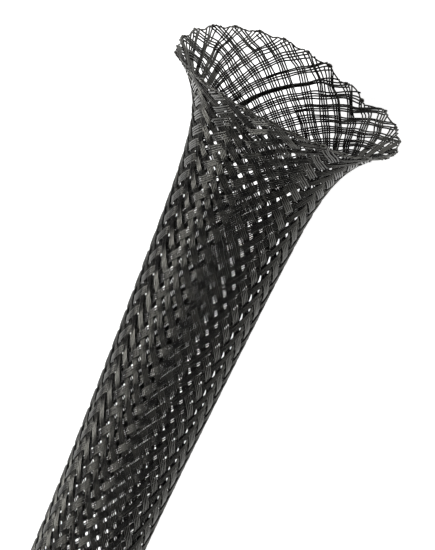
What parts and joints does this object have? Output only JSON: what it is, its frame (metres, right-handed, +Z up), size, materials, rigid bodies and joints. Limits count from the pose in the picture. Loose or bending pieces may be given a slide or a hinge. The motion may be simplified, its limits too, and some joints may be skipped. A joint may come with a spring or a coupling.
{
  "type": "braided cable sleeve",
  "caption": "Length of expandable braided cable sleeve: a round tube of woven black filament, cut square at one end and opened into a flared mouth at the other.",
  "frame": {"origin": "on the floor, under the middle of the lying sleeve's box", "axes": "+X along the sleeve from its cut end toward its flared mouth, +Z up"},
  "size_m": [0.3056, 0.0348, 0.0319],
  "materials": {
    "black_filament": "smooth drawn polyester monofilament, satin gloss, near black"
  },
  "bodies": {
    "root": {"braided_sleeve": "black_filament"}
  },
  "joints": []
}
